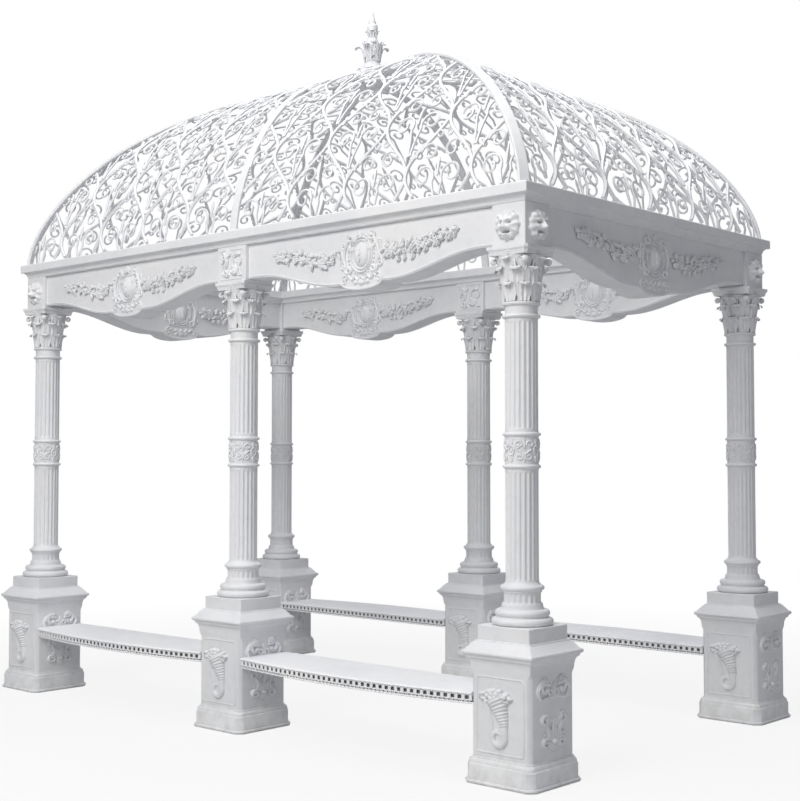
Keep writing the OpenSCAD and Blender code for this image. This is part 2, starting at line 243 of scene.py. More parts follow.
def build(name, parts, *stands_for, material=None, crease=38):
    """Make the mesh, merge its doubles, turn its faces outward, and let it ride the frame."""
    points, faces = joined(parts)
    mesh = bpy.data.meshes.new(name)
    mesh.vertices.add(len(points))
    mesh.vertices.foreach_set("co", points.astype(np.float32).ravel())
    mesh.loops.add(faces.size)
    mesh.loops.foreach_set("vertex_index", faces.astype(np.int32).ravel())
    mesh.polygons.add(len(faces))
    mesh.polygons.foreach_set("loop_start", np.arange(0, faces.size, 4, dtype=np.int32))
    mesh.update(calc_edges=True)
    work = bmesh.new()
    work.from_mesh(mesh)
    bmesh.ops.remove_doubles(work, verts=work.verts, dist=2e-6)
    bmesh.ops.recalc_face_normals(work, faces=work.faces)
    work.to_mesh(mesh)
    work.free()
    mesh.polygons.foreach_set("use_smooth", np.ones(len(mesh.polygons), dtype=bool))
    mesh.set_sharp_from_angle(angle=math.radians(crease))
    mesh.materials.append(material or PAINT)
    piece = bpy.data.objects.new(name, mesh)
    bpy.context.scene.collection.objects.link(piece)
    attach(piece, "root")
    if stands_for:
        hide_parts(*stands_for)
    triangles = sum(len(p.vertices) - 2 for p in mesh.polygons)
    TALLY.append(triangles)
    print(f"{name}: {len(mesh.vertices)} points, {triangles} triangles")


TALLY = []

# %% [markdown]
# ## Bars, blobs and turned shapes
# Scrolls, beads and frames are round bars. A bar is a small ring of points
# carried along a path. The ring stays square to the path, and its up side
# looks along a given direction, so a bar on a wall never twists.

# %% Bar along a path
def bar(path, radius, up=(0, 0, 1), sides=6, loop=False, flat=1.0):
    """Ring of points carried along the path: side = path direction x up, and each ring
    point is path + radius * (side * cos + up * sin * flat); the ends shrink to a point."""
    path = np.asarray(path, float)
    if loop:
        ahead = np.roll(path, -1, 0) - np.roll(path, 1, 0)
    else:
        ahead = np.gradient(path, axis=0)
    ahead /= np.linalg.norm(ahead, axis=1, keepdims=True)
    side = np.cross(ahead, np.broadcast_to(np.asarray(up, float), path.shape))
    side /= np.linalg.norm(side, axis=1, keepdims=True)
    rise = np.cross(side, ahead)
    radius = np.broadcast_to(np.asarray(radius, float), len(path)).copy()
    if not loop:
        path, side, rise = (np.concatenate([a[:1], a, a[-1:]]) for a in (path, side, rise))
        radius = np.concatenate([[0], radius, [0]])
    turn = math.tau * (np.arange(sides) + 0.5) / sides
    ring = (side[:, None] * np.cos(turn)[:, None] + rise[:, None] * np.sin(turn)[:, None] * flat)
    points = path[:, None] + radius[:, None, None] * ring
    return points.reshape(-1, 3), grid(len(path), sides, wrap=True, loop=loop)


def flat_bar(path, radius, sides=6, loop=False, flat=0.7):
    """A bar whose path is drawn in a plane: x right, y up, on a wall at z = 0."""
    path = np.asarray(path, float)
    return bar(np.column_stack([path, np.zeros(len(path))]), radius, sides=sides, loop=loop, flat=flat)


def closed_tube(rings):
    """One part from rings of points in a row; a ring shrunk to its middle closes each end."""
    count = rings.shape[1]
    first, last = (end.mean(1, keepdims=True).repeat(count, 1) for end in (rings[:1], rings[-1:]))
    points = np.concatenate([first, rings, last])
    return points.reshape(-1, 3), grid(len(points), count, wrap=True)


# %% Smooth line and scroll
def smooth(points, steps=8):
    """Curve through chosen points: on each stretch, the Catmull-Rom cubic of four neighbours."""
    points = np.asarray(points, float)
    ends = np.concatenate([[2 * points[0] - points[1]], points, [2 * points[-1] - points[-2]]])
    t = np.linspace(0, 1, steps, endpoint=False)[None, :, None]
    a, b, c, d = (ends[i:len(ends) - 3 + i, None] for i in range(4))
    curve = 0.5 * (2 * b + (c - a) * t + (2 * a - 5 * b + 4 * c - d) * t ** 2
                   + (3 * b - a - 3 * c + d) * t ** 3)
    return np.concatenate([curve.reshape(-1, points.shape[1]), points[-1:]])


def curl(centre, start, outer, inner, turns, count=22):
    """Spiral: the radius shrinks from outer to inner while the angle runs from start
    through the given turns, negative for clockwise."""
    share = np.linspace(0, 1, count)
    angle = start + math.tau * turns * share
    reach = inner + (outer - inner) * (1 - share) ** 1.15
    return np.stack([centre[0] + reach * np.cos(angle), centre[1] + reach * np.sin(angle)], -1)


def mirrored(path):
    """The same flat path on the other side of x = 0."""
    return np.asarray(path) * (-1, 1)


def both(path, radius, flat):
    """Two flat bars: one along the path, one along its mirror image."""
    return [flat_bar(line, radius, flat=flat) for line in (path, mirrored(path))]


# %% Blobs and turned castings
def blobs(places, sizes, rows=5, cols=7):
    """Many small ellipsoids at once: one unit ball, scaled and shifted for each place."""
    places = np.asarray(places, float).reshape(-1, 3)
    sizes = np.broadcast_to(np.asarray(sizes, float), places.shape)
    tilt = np.linspace(-math.pi / 2, math.pi / 2, rows)[:, None]
    turn = math.tau * np.arange(cols)[None, :] / cols
    ball = np.stack([np.cos(tilt) * np.cos(turn), np.cos(tilt) * np.sin(turn),
                     np.sin(tilt) * np.ones_like(turn)], -1).reshape(-1, 3)
    points = (places[:, None] + sizes[:, None] * ball[None]).reshape(-1, 3)
    faces = grid(rows, cols, wrap=True)
    shift = np.arange(len(places))[:, None, None] * len(ball)
    return points, (faces[None] + shift).reshape(-1, 4)


def turned(profile, sides, cut=None):
    """Lathe work: each (radius, height) row is spun about Z; cut takes a depth off the
    radius at (row, angle), as flutes do. A radius of 0 at both ends closes it."""
    profile = np.asarray(profile, float)
    angle = math.tau * np.arange(sides) / sides
    radius = np.repeat(profile[:, :1], sides, 1)
    if cut is not None:
        radius = radius - cut
    points = np.stack([radius * np.cos(angle), radius * np.sin(angle),
                       np.repeat(profile[:, 1:2], sides, 1)], -1)
    return points.reshape(-1, 3), grid(len(profile), sides, wrap=True)


def squared(profile):
    """Square casting: each (half width, height, corner cut) row is a square whose corners
    are cut off at 45 degrees, with a slightly rounded arris on each side of the cut."""
    profile = np.asarray(profile, float)
    w, z, c = profile.T
    e = np.minimum(0.004, w / 8)
    corner = [(w, w - c - e), (w - e / 4, w - c), (w - c, w - e / 4), (w - c - e, w)]
    plan = []
    for quarter in range(4):
        co, si = math.cos(quarter * math.pi / 2), math.sin(quarter * math.pi / 2)
        plan += [(x * co - y * si, x * si + y * co) for x, y in corner]
    points = np.stack([np.stack([x, y, z], -1) for x, y in plan], 1)
    return points.reshape(-1, 3), grid(len(profile), len(plan), wrap=True)


def arc(cx, cz, r, first, last, steps=6):
    """Rows of a profile on an arc about (cx, cz), between two angles in degrees."""
    a = np.radians(np.linspace(first, last, steps + 1))
    return list(zip(cx + r * np.cos(a), cz + r * np.sin(a)))


def hollow(x0, z0, x1, z1, steps=6):
    """Rows of a cove: a quarter of an ellipse from (x0, z0) to (x1, z1)."""
    a = np.radians(np.linspace(0, 90, steps + 1))
    return list(zip(x1 + (x0 - x1) * np.cos(a), z0 + (z1 - z0) * np.sin(a)))

# %% [markdown]
# ## Pedestals
# Each pedestal is a hollow square box: a rounded lip on the floor, a plinth
# block, a sloped moulding, a tall die with cut corners, a cove, a cap with a
# round edge and sloped top, and a small square plinth for the column. All
# rows are squares, so one profile carried up the box makes the whole casting.

# %% Pedestal body
LIP, BLOCK, DIE, CAP, SUB = 0.219, 0.209, 0.183, 0.219, 0.160
Z_LIP, Z_DIE, Z_COVE, Z_EDGE, Z_SLOPE, Z_SUB = 0.028, 0.127, 0.553, 0.625, 0.650, 0.694
DIE_CUT = 0.020


def pedestal_profile():
    """Half width, height and corner cut, from the floor to the column's foot."""
    fine, cut = 0.004, 0.034
    rows = [(0, 0, 0), (LIP - 0.003, 0, cut)]
    rows += [(x, z, cut) for x, z in arc(LIP - 0.010, 0.010, 0.010, -60, 80, 5)]
    rows += [(BLOCK + 0.002, Z_LIP - 0.002, cut), (BLOCK, Z_LIP + 0.002, cut)]
    rows += [(BLOCK, 0.092, cut), (BLOCK - 0.004, 0.098, cut)]
    rows += [(x, z, DIE_CUT + 0.004) for x, z in hollow(BLOCK - 0.008, 0.099, DIE + 0.005, 0.122, 5)]
    rows += [(DIE + 0.005, Z_DIE, DIE_CUT), (DIE, Z_DIE + 0.003, DIE_CUT)]
    rows += [(DIE, Z_DIE + 0.020, DIE_CUT), (DIE, Z_COVE - 0.020, DIE_CUT)]
    rows += [(DIE, Z_COVE - 0.006, fine * 2)]
    rows += [(x, z, fine) for x, z in hollow(DIE + 0.001, Z_COVE + 0.004, CAP - 0.016, Z_EDGE - 0.014, 8)]
    rows += [(CAP - 0.014, Z_EDGE - 0.008, fine), (CAP - 0.012, Z_EDGE, fine)]
    rows += [(x, z, fine) for x, z in arc(CAP - 0.0125, Z_EDGE + 0.0125, 0.0125, -75, 90, 6)]
    rows += [(SUB + 0.018, Z_SUB - 0.008, fine), (SUB + 0.012, Z_SUB - 0.006, fine)]
    rows += [(SUB + 0.010, Z_SUB, fine), (SUB, Z_SUB + 0.002, fine)]
    rows += [(SUB, Z_COLUMN - 0.003, fine), (SUB - 0.003, Z_COLUMN, fine), (0, Z_COLUMN, 0)]
    return rows


# %% [markdown]
# ## Reliefs on the pedestals
# The long-side faces carry a horn of plenty: a ribbed horn with a ruffled
# mouth full of fruit, whose tip curls up at the foot. The other faces carry a
# pair of scrolls above, and a lyre of leaves below. They stand about 20 mm
# out, so they're real bars and blobs and not a bump in the paint.

# %% Horn of plenty
def horn():
    """A bar whose radius shrinks along a hooked path, with ripples for its ribs."""
    throat = smooth([(-0.020, 0.085), (0.004, 0.035), (0.020, -0.015), (0.030, -0.060)], 12)
    path = np.concatenate([throat[:-1], curl((-0.012, -0.108), 0.62, 0.046, 0.017, -1.30, 36)])
    share = np.linspace(0, 1, len(path))
    radius = np.interp(share, (0, 0.25, 0.5, 0.75, 1), (0.058, 0.038, 0.022, 0.014, 0.008))
    ribbed = radius * (1 + 0.085 * np.cos(np.arange(len(path)) * 1.75) * (share > 0.04) * (share < 0.52))
    parts = [flat_bar(path, ribbed, sides=14, flat=0.95)]
    parts.append(flat_bar(smooth([(-0.092, 0.074), (-0.070, 0.016), (-0.050, -0.040), (-0.044, -0.086)], 5),
                          np.linspace(0.017, 0.008, 16), sides=8, flat=0.8))
    rim = np.linspace(0, math.tau, 61)[:-1]
    ruffle = 1 + 0.09 * np.cos(rim * 9)
    mouth = np.stack([-0.024 + 0.084 * ruffle * np.cos(rim), 0.086 + 0.024 * ruffle * np.sin(rim)], -1)
    parts.append(flat_bar(mouth, 0.012 + 0.003 * np.cos(rim * 9), loop=True, flat=1.7))
    heap = [(-0.066, 0.092), (-0.040, 0.100), (-0.012, 0.102), (0.016, 0.096), (0.036, 0.092),
            (-0.052, 0.112), (-0.026, 0.118), (0.004, 0.116),
            (-0.016, 0.086), (-0.044, 0.082), (0.012, 0.084)]
    parts.append(blobs([(x, y, 0.012) for x, y in heap], (0.018, 0.015, 0.018), 7, 10))
    return parts


# %% Leaf, scroll pair and lyre
def flat_leaf(length, width, lobes=4, height=0.010, rows=9, cols=5):
    """A lobed leaf on a wall: half width = width * sin of its length * a scalloped edge,
    height falls off to both edges, and a back at z = 0 closes it."""
    t = np.linspace(0.02, 1, rows)[:, None]
    s = np.linspace(-1, 1, cols)[None, :]
    half = width / 2 * np.sin(np.pi * np.clip(t, 0, 1) ** 0.8) ** 0.7
    half = half * (1 - 0.22 * (0.5 + 0.5 * np.cos(math.tau * lobes * t)))
    x, y = half * s, length * t + 0.10 * length * (1 - np.abs(s)) * 0.3
    z = height * (1 - s ** 2) * (1 - 0.5 * t) - 0.35 * height * np.exp(-(s / 0.16) ** 2)
    front = np.stack([x, y + 0 * s, z + 0.002 + 0 * x], -1)
    back = np.stack([x, y + 0 * s, np.full_like(x, -0.003)], -1)
    return loft_between(front, back)


def loft_between(front, back):
    """A closed leaf from a front grid and a back grid of the same size: the back runs
    the other way, and the two share one long ring of columns."""
    return closed_tube(np.concatenate([front, back[:, ::-1]], 1))


def scroll_pair():
    """Two C-scrolls that face each other, with a small leaf between them."""
    left = np.concatenate([curl((-0.055, 0.012), -0.2, 0.012, 0.030, -0.9, 14),
                           smooth([(-0.078, 0.032), (-0.100, 0.0), (-0.080, -0.034), (-0.040, -0.030)], 6),
                           curl((-0.022, -0.010), -2.2, 0.020, 0.006, 1.2, 14)])
    parts = both(left, 0.0105 * np.linspace(1.15, 0.7, len(left)), 1.1)
    parts += moved([flat_leaf(0.060, 0.040, 3)], (0, -0.030, 0))
    parts += moved([flat_leaf(0.040, 0.026, 3)], (0.03, 0.030, 0), turn=-0.9)
    parts += moved([flat_leaf(0.040, 0.026, 3)], (-0.03, 0.030, 0), turn=0.9)
    return parts


def lyre():
    """A palmette between two upright S-scrolls."""
    side = np.concatenate([curl((-0.050, 0.062), 2.6, 0.006, 0.026, -1.2, 18),
                           smooth([(-0.046, 0.034), (-0.034, 0.0), (-0.046, -0.030)], 6),
                           curl((-0.046, -0.052), 1.9, 0.024, 0.007, 1.2, 18)])
    parts = both(side, 0.0100, 1.1)
    for turn in (-0.95, -0.5, 0, 0.5, 0.95):
        parts += moved([flat_leaf(0.105 - 0.03 * abs(turn), 0.036, 4)], (0, -0.045, 0.002), turn=turn)
    parts += moved([flat_leaf(0.060, 0.050, 3)], (0, -0.035, 0), turn=math.pi)
    parts.append(blobs([(0, -0.045, 0.008)], (0.018, 0.014, 0.012), 7, 10))
    return parts


def bead_frame(width, height, radius):
    """A raised bead round a panel: a rectangle with small round corners as a closed bar."""
    r = 0.014
    a = np.radians(np.linspace(0, 90, 5))
    x, y = width / 2 - r + r * np.cos(a), height / 2 - r + r * np.sin(a)
    path = np.concatenate([np.stack([x, y], -1), np.stack([-x, y], -1)[::-1],
                           np.stack([-x, -y], -1), np.stack([x, -y], -1)[::-1]])
    return flat_bar(path, radius, sides=6, loop=True, flat=0.8)


# %% Assemble the pedestals
PLACES = {"left": -1, "middle": 0, "right": 1}
ROWS = {"front": -1, "back": 1}
POSTS = [(f"{row}_{place}", i, s) for row, s in ROWS.items() for place, i in PLACES.items()]
BAYS = [(spot, i, s) for spot, i, s in POSTS if i != 0]
HORN, PAIR, LYRE = horn(), scroll_pair(), lyre()
Z_FACE = (Z_DIE + Z_COVE) / 2
for spot, i, s in POSTS:
    axis = np.array([i * BAY, s * ROW, 0.0])
    parts = moved([squared(pedestal_profile())], axis)
    for out in ((0, -1), (0, 1)):
        foot = axis + (0, out[1] * DIE, Z_FACE)
        parts += on_face([bead_frame(0.286, 0.366, 0.0055)], foot, out)
        parts += on_face(HORN, foot + (0, 0, 0.004), out)
    for out in ((-1, 0), (1, 0)):
        foot = axis + (out[0] * DIE, 0, Z_FACE)
        parts += on_face(moved(PAIR, (0, 0.128, 0), (1.28, 1.22, 1.3)), foot, out)
        parts += on_face(moved(LYRE, (0, -0.075, 0), (1.32, 0.98, 1.3)), foot, out)
    build(f"pedestal_{spot}_cast", parts, f"pedestal_{spot}")

# %% [markdown]
# ## Columns
# A column is lathe work: the profile of its mouldings spun about its axis.
# The flutes are taken off the radius while it spins, so they're real hollows
# with soft ends. The band and the capital carry leaves, added below.

# %% Column profile
SHAFT, FLUTES, FLUTE_W, FLUTE_D = 0.083, 20, 0.0165, 0.0055
Z_TORUS, Z_DRUM, Z_RING, Z_LOW = 0.805, 0.845, 0.940, 0.968
Z_BAND, Z_HIGH, Z_NECK, Z_CAP, Z_ABACUS = 1.540, 1.720, 2.290, 2.370, 2.601


def fluted_rows(low, high):
    """Shaft rows: close together where the flutes fade out at both ends, far apart between."""
    fade = (0, 0.006, 0.010, 0.018)
    return [(SHAFT, low + step) for step in fade] + [(SHAFT, high - step) for step in fade[::-1]]


def column_profile():
    """Radius and height, from the foot to the underside of the abacus."""
    rows = [(0, Z_COLUMN), (0.130, Z_COLUMN + 0.001)]
    rows += arc(0.1365, Z_COLUMN + 0.0185, 0.0185, -80, 80, 7)
    rows += [(0.134, Z_TORUS + 0.001), (0.131, Z_TORUS + 0.004)]
    rows += arc(0.119, Z_TORUS + 0.022, 0.0185, -60, 80, 6)
    rows += [(0.112, Z_DRUM + 0.002), (0.108, Z_DRUM + 0.003), (0.107, Z_DRUM + 0.008)]
    rows += hollow(0.104, Z_DRUM + 0.009, 0.0935, Z_DRUM + 0.034, 5)
    rows += [(0.0925, z) for z in np.linspace(Z_DRUM + 0.038, Z_RING - 0.018, 5)]
    rows += [(0.093, Z_RING - 0.014), (0.098, Z_RING - 0.010), (0.098, Z_RING - 0.004)]
    rows += arc(0.098, Z_RING + 0.011, 0.0125, -75, 80, 6)
    rows += [(0.095, Z_LOW - 0.002), (0.090, Z_LOW + 0.004), (SHAFT + 0.002, Z_LOW + 0.010)]
    rows += fluted_rows(Z_LOW + 0.014, Z_BAND - 0.012)
    for low, high in ((Z_BAND, Z_BAND + 0.020), (Z_HIGH - 0.020, Z_HIGH)):
        rows += [(SHAFT + 0.001, low - 0.001)]
        rows += arc(0.0875, (low + high) / 2, 0.0085, -75, 75, 4)
        rows += [(SHAFT + 0.001, high + 0.001)]
    rows += fluted_rows(Z_HIGH + 0.012, Z_NECK - 0.012)
    for low, high in ((Z_NECK, Z_NECK + 0.018), (Z_CAP - 0.018, Z_CAP)):
        rows += [(SHAFT, low - 0.001)]
        rows += arc(0.0885, (low + high) / 2, 0.0085, -80, 80, 4)
        rows += [(SHAFT - 0.001, high + 0.001)]
    bell = np.linspace(0, 1, 5)
    rows += [(0.080 + 0.042 * t ** 2.6, Z_CAP + 0.006 + t * (Z_ABACUS - Z_CAP - 0.008)) for t in bell]
    rows += [(0, Z_ABACUS)]
    return np.array(rows)


def flute_cut(profile, sides):
    """Depth taken off at each (row, angle): a round hollow across each flute, which
    fades out over 12 mm at both ends of the drum and of the two shafts."""
    z = profile[:, 1:2]
    along = np.zeros_like(z)
    stretches = ((Z_DRUM + 0.030, Z_RING - 0.016), (Z_LOW + 0.020, Z_BAND - 0.018),
                 (Z_HIGH + 0.018, Z_NECK - 0.018))
    for low, high in stretches:
        along = np.maximum(along, np.clip((z - low) / 0.012, 0, 1) * np.clip((high - z) / 0.012, 0, 1))
    turn = np.arange(sides) / sides * FLUTES
    across = (turn - np.round(turn)) * math.tau * SHAFT / FLUTES / (FLUTE_W / 2)
    return FLUTE_D * np.sqrt(along) * np.sqrt(np.clip(1 - across ** 2, 0, 1))[None, :]


def column_shaft():
    """The lathe work with its flutes, eight points to a flute."""
    profile = column_profile()
    return turned(profile, FLUTES * 8, flute_cut(profile, FLUTES * 8))


# %% [markdown]
# ## Leaves that stand off the bell
# The capital is a bell with three rings of acanthus leaves and four corner
# scrolls under a hollow-sided abacus. A leaf here is a closed shell: it climbs
# the bell, leans out, and its tip curls over. Its outline is lobed and its
# middle is a groove, because those are what catch the light.

# %% Standing leaf
def standing_leaf(width, rise, lean, lobes=4, thick=0.004, rows=13, cols=7):
    """Along t the leaf climbs rise and leans out; past three quarters it curls down. Its
    half width is scalloped, and across s it cups towards the bell."""
    t = np.linspace(0, 1, rows)[:, None]
    s = np.linspace(-1, 1, cols)[None, :]
    turn = np.clip((t - 0.62) / 0.38, 0, 1) * math.radians(200)
    up = rise * np.minimum(t / 0.62, 1) * 0.88 + rise * 0.12 * np.sin(turn)
    out = lean * 0.35 * np.minimum(t / 0.62, 1) ** 2 + lean * 0.33 * (1 - np.cos(turn))
    half = width / 2 * (0.80 + 0.35 * np.sin(np.pi * t) - 0.42 * t ** 5)
    half = half * (1 - 0.20 * np.abs(np.sin(np.pi * lobes * t)) ** 0.6 * (t < 0.9))
    edge = 1 - 0.10 * np.abs(s) ** 3 * np.cos(math.tau * lobes * t)
    groove = 0.0045 * np.exp(-(s / 0.13) ** 2) + 0.0025 * np.cos(s * 9.4) * (1 - t)
    cup = 0.006 * (1 - s ** 2) - groove
    front = np.stack([half * s * edge, up - 0.02 * rise * np.abs(s), out + cup + 0.004], -1)
    back = front - np.array([0, 0, thick])
    return loft_between(front, back)


def ring_of(parts, radius, height, count, start=0.0):
    """Copies of parts on an upright cylinder, evenly round it."""
    ring = []
    for k in range(count):
        turn = start + math.tau * k / count
        out = (math.sin(turn), -math.cos(turn))
        ring += on_face(parts, (radius * out[0], radius * out[1], height), out)
    return ring


def corner_scroll():
    """Volute under a corner of the abacus: a flat bar that rises from the bell, runs out
    to the corner and rolls up; it lies in the upright plane of the diagonal."""
    path = np.concatenate([smooth([(0.000, -0.110), (0.012, -0.060), (0.030, -0.028), (0.048, -0.016)], 6),
                           curl((0.046, -0.029), 1.5, 0.013, 0.003, -1.6, 18)])
    width = np.linspace(0.010, 0.014, len(path))
    upright = np.stack([0 * path[:, 0], path[:, 1], path[:, 0]], -1)
    return bar(upright, width * 0.62, up=(1, 0, 0), sides=8, flat=1.9)


def abacus_slab(half=0.131, sweep=0.013, corner=0.014):
    """Square slab with hollow sides and cut corners, and a moulded edge."""
    x = np.linspace(-1, 1, 13)
    side = np.stack([x * (half - corner), -(half - sweep * (1 - x ** 2))], -1)
    plan = np.concatenate([side @ np.array([[math.cos(a), math.sin(a)], [-math.sin(a), math.cos(a)]])
                           for a in np.arange(4) * math.pi / 2])
    rows = [(0.0, Z_ABACUS), (0.90, Z_ABACUS), (0.925, Z_ABACUS + 0.010), (0.935, Z_ABACUS + 0.018),
            (0.965, Z_ABACUS + 0.024), (0.995, Z_ABACUS + 0.028), (1.0, Z_ABACUS + 0.034),
            (0.995, Z_BLOCK), (0.0, Z_BLOCK)]
    points = np.stack([np.column_stack([plan * share, np.full(len(plan), z)]) for share, z in rows])
    return points.reshape(-1, 3), grid(len(rows), len(plan), wrap=True)


def capital():
    """Three rings of leaves, four corner scrolls, small inner scrolls and a flower a side."""
    parts = [abacus_slab()]
    parts += ring_of([standing_leaf(0.078, 0.092, 0.036)], 0.083, Z_CAP + 0.002, 8)
    parts += ring_of([standing_leaf(0.082, 0.098, 0.042)], 0.089, Z_CAP + 0.072, 8, math.pi / 8)
    parts += ring_of([standing_leaf(0.070, 0.078, 0.040)], 0.099, Z_CAP + 0.140, 8)
    parts += ring_of([corner_scroll()], 0.092, Z_ABACUS, 4, math.pi / 4)
    inner = np.concatenate([smooth([(0.052, -0.090), (0.040, -0.050)], 6),
                            curl((0.024, -0.046), -0.2, 0.018, 0.004, 1.5, 14)])
    parts += ring_of(both(inner, 0.0065, 0.9), 0.106, Z_ABACUS + 0.004, 4)
    parts += ring_of([flower(0.017)], 0.110, Z_ABACUS + 0.017, 4)
    return parts


def flower(radius, petals=6):
    """A round button with petals round it."""
    turn = math.tau * np.arange(petals) / petals
    places = np.stack([radius * 0.62 * np.cos(turn), radius * 0.62 * np.sin(turn), 0 * turn], -1)
    return joined([blobs(places, (radius * 0.40, radius * 0.40, radius * 0.34), 4, 6),
                   blobs([(0, 0, radius * 0.2)], (radius * 0.34, radius * 0.34, radius * 0.36), 4, 6)])


# %% [markdown]
# ## Band round the middle of the shaft
# Between the two double rings runs a band of scrollwork in relief. It's drawn
# flat, four times round, and then bent onto the shaft.

# %% Band scrollwork
def band_pattern(count=4):
    """Each repeat has an oval flower between two S-scrolls, with small leaves."""
    pitch = math.tau * (SHAFT + 0.001) / count
    parts = []
    s_path = np.concatenate([curl((0.036, 0.030), 0.5, 0.005, 0.019, -1.1, 12),
                             smooth([(0.024, 0.006), (0.044, -0.004)], 6)[1:],
                             curl((0.042, -0.030), 1.3, 0.021, 0.005, -1.25, 12)])
    for k in range(count):
        at = (pitch * k, 0, 0)
        oval = np.linspace(0, math.tau, 19)[:-1]
        frame_line = np.stack([0.016 * np.cos(oval), 0.024 * np.sin(oval)], -1)
        button = blobs([(0, 0, 0)], (0.009, 0.015, 0.007), 5, 8)
        frame_bar = flat_bar(frame_line, 0.0055, loop=True, flat=1.4)
        parts += moved([frame_bar, button] + both(s_path, 0.0060, 1.2), at)
        for length, width, share, y in ((0.034, 0.024, 0, 0.026), (0.050, 0.018, 0.5, 0.008)):
            leaf = [flat_leaf(length, width, 3, 0.007)]
            x = pitch * (k + share)
            parts += moved(leaf, (x, y, 0)) + moved(leaf, (x, -y, 0), turn=math.pi)
    return parts


# %% Assemble the columns
SHAFT_PART, CAPITAL, BAND = column_shaft(), capital(), band_pattern()
Z_MIDDLE = (Z_BAND + Z_HIGH) / 2
for spot, i, s in POSTS:
    axis = np.array([i * BAY, s * ROW, 0.0])
    parts = moved([SHAFT_PART] + CAPITAL + round_column(BAND, SHAFT + 0.001, Z_MIDDLE), axis)
    build(f"column_{spot}_cast", parts, f"column_{spot}", crease=34)

# %% [markdown]
# ## Blocks over the columns
# Corner blocks carry a lion's mask on each outer face, and plain inner faces.
# The two middle blocks carry a framed panel of scrollwork in and out. A mask is
# a height field: round bumps for brow, muzzle and cheeks, and dents for eyes
# and mouth, added up over a disc.

# %% Lion's mask
def bump(x, y, cx, cy, rx, ry):
    """A smooth hill: the bell curve of the distance to (cx, cy) in radii rx and ry."""
    return np.exp(-(((x - cx) / rx) ** 2 + ((y - cy) / ry) ** 2))


def lion(width=0.150, height=0.152, depth=0.052):
    """Heights over a disc: a domed mane with tufts, plus rise * bump for each feature of
    the face, twice where it stands off the middle line."""
    r = np.linspace(0, 1, 20)[:, None]
    a = math.tau * np.arange(56)[None, :] / 56
    tuft = 1 + 0.055 * np.cos(a * 11) * r ** 3
    x, y = r * tuft * np.cos(a), r * tuft * np.sin(a)
    mane = 0.66 * np.sqrt(np.clip(1 - (r * 0.94) ** 2.4, 0, 1))
    mane = mane + 0.10 * np.cos(a * 11) * bump(r, 0, 0.80, 0, 0.17, 1)
    z = mane * np.ones_like(a)
    features = {"brows": (0.20, 0.34, 0.30, 0.22, 0.13), "nose": (0.36, 0, 0.04, 0.13, 0.34),
                "muzzle": (0.40, 0, -0.20, 0.34, 0.20), "lips": (0.16, 0.16, -0.26, 0.13, 0.12),
                "cheeks": (0.12, 0.46, -0.12, 0.18, 0.22), "chin": (0.18, 0, -0.66, 0.22, 0.13),
                "eyes": (-0.66, 0.30, 0.13, 0.16, 0.095), "mouth": (-0.95, 0, -0.47, 0.26, 0.095),
                "groove": (-0.16, 0, -0.16, 0.035, 0.12), "ears": (0.22, 0.62, 0.60, 0.14, 0.14)}
    for rise, cx, cy, rx, ry in features.values():
        hill = bump(x, y, cx, cy, rx, ry)
        if cx:
            hill = hill + bump(x, y, -cx, cy, rx, ry)
        z += rise * hill
    z *= np.where(r > 0.97, 0.0, 1.0)
    face = np.stack([x * width / 2, y * height / 2, z * depth - 0.002], -1)
    back = face[-1:] * (0, 0, 0) + (0, 0, -0.002) + 0 * face[:1]
    points = np.concatenate([face, back], 0)
    return points.reshape(-1, 3), grid(len(points), 56, wrap=True)


# %% Scroll panel
def scroll_panel(width, height):
    """A framed panel: a thin bead, an upright S of leaves on each side, and a C below."""
    parts = [bead_frame(width, height, 0.0055)]
    k = height / 0.18
    left = np.concatenate([curl((-0.050, 0.050), 3.4, 0.006, 0.024, -1.25, 18),
                           smooth([(-0.030, 0.024), (-0.040, -0.004), (-0.062, -0.028)], 6)[1:],
                           curl((-0.046, -0.046), 2.4, 0.022, 0.006, 1.2, 18)]) * (width / 0.20, k)
    right = np.concatenate([curl((0.026, -0.040), 0.9, 0.006, 0.030, -1.3, 20),
                            smooth([(0.012, 0.002), (0.024, 0.040), (0.058, 0.060), (0.076, 0.052)], 6)[1:]])
    right = right * (width / 0.20, k)
    for path in (left, right):
        parts.append(flat_bar(path, np.linspace(0.0150, 0.0105, len(path)), flat=1.45))
    leaves = ((-0.008, 0.050, 0.7, 0.046), (0.036, 0.030, -2.2, 0.034), (-0.070, 0.006, 0.4, 0.036),
              (0.070, -0.010, -0.5, 0.040), (0.060, -0.060, -1.9, 0.034), (-0.014, -0.064, 1.8, 0.036))
    for x, y, turn, size in leaves:
        leaf = flat_leaf(size * 1.1, size * 0.85, 3, 0.018)
        parts += moved([leaf], (x * width / 0.20, y * k, 0), turn=turn)
    return parts


# %% Assemble the blocks
BLOCK_HALF, PANEL_MARGIN, PANEL_HIGH = 0.104, 0.046, 0.176
MASK = moved([lion()], (0, -0.003, 0))


def square_prism(half_x, half_y, low, high, ease=0.003):
    """A box with eased edges as rows of four corners each with a tiny cut."""
    inside = 1 - ease / half_x
    rows = [(0, low), (inside, low), (1, low + ease), (1, high - ease), (inside, high), (0, high)]
    plan = []
    for sx, sy, flip in ((1, -1, 0), (1, 1, 1), (-1, 1, 0), (-1, -1, 1)):
        pair = [(sx * (half_x - ease), sy * half_y), (sx * half_x, sy * (half_y - ease))]
        plan += pair[::-1] if flip else pair
    plan = np.array(plan)
    points = np.stack([np.column_stack([plan * share, np.full(8, z)]) for share, z in rows])
    return points.reshape(-1, 3), grid(len(rows), 8, wrap=True)


